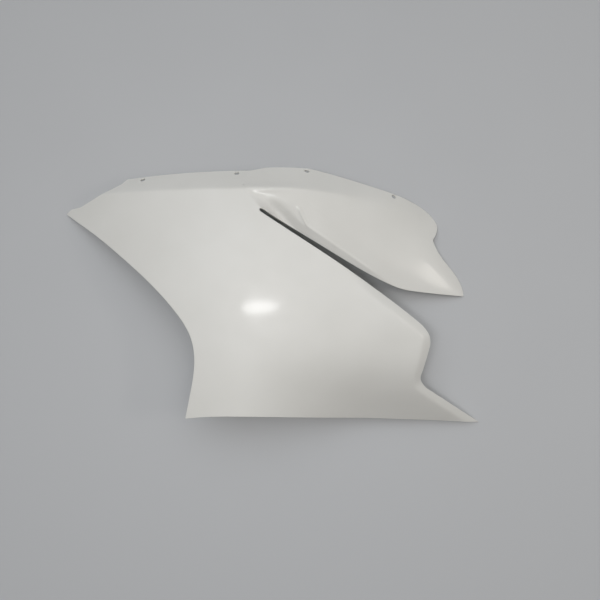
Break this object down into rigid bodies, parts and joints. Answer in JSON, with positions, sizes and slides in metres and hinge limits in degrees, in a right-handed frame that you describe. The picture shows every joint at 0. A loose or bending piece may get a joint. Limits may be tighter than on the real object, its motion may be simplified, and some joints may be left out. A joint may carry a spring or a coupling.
{
  "type": "motorcycle side fairing panel",
  "caption": "Moulded side fairing panel for a motorcycle: a thin domed shell with a folded top flange, fixing holes, a raked blade set off by a long vent slot, and a pointed tail.",
  "frame": {"origin": "centre of the panel's plan box, on the plane of its three resting points", "axes": "+X to the rear of the motorcycle, +Y up the motorcycle, +Z outboard, away from the hollow side"},
  "size_m": [0.73, 0.4402, 0.1069],
  "materials": {
    "gelcoat": "glossy white gelcoat over glass-fibre laminate"
  },
  "bodies": {
    "root": {"side_fairing": "gelcoat"}
  },
  "joints": []
}
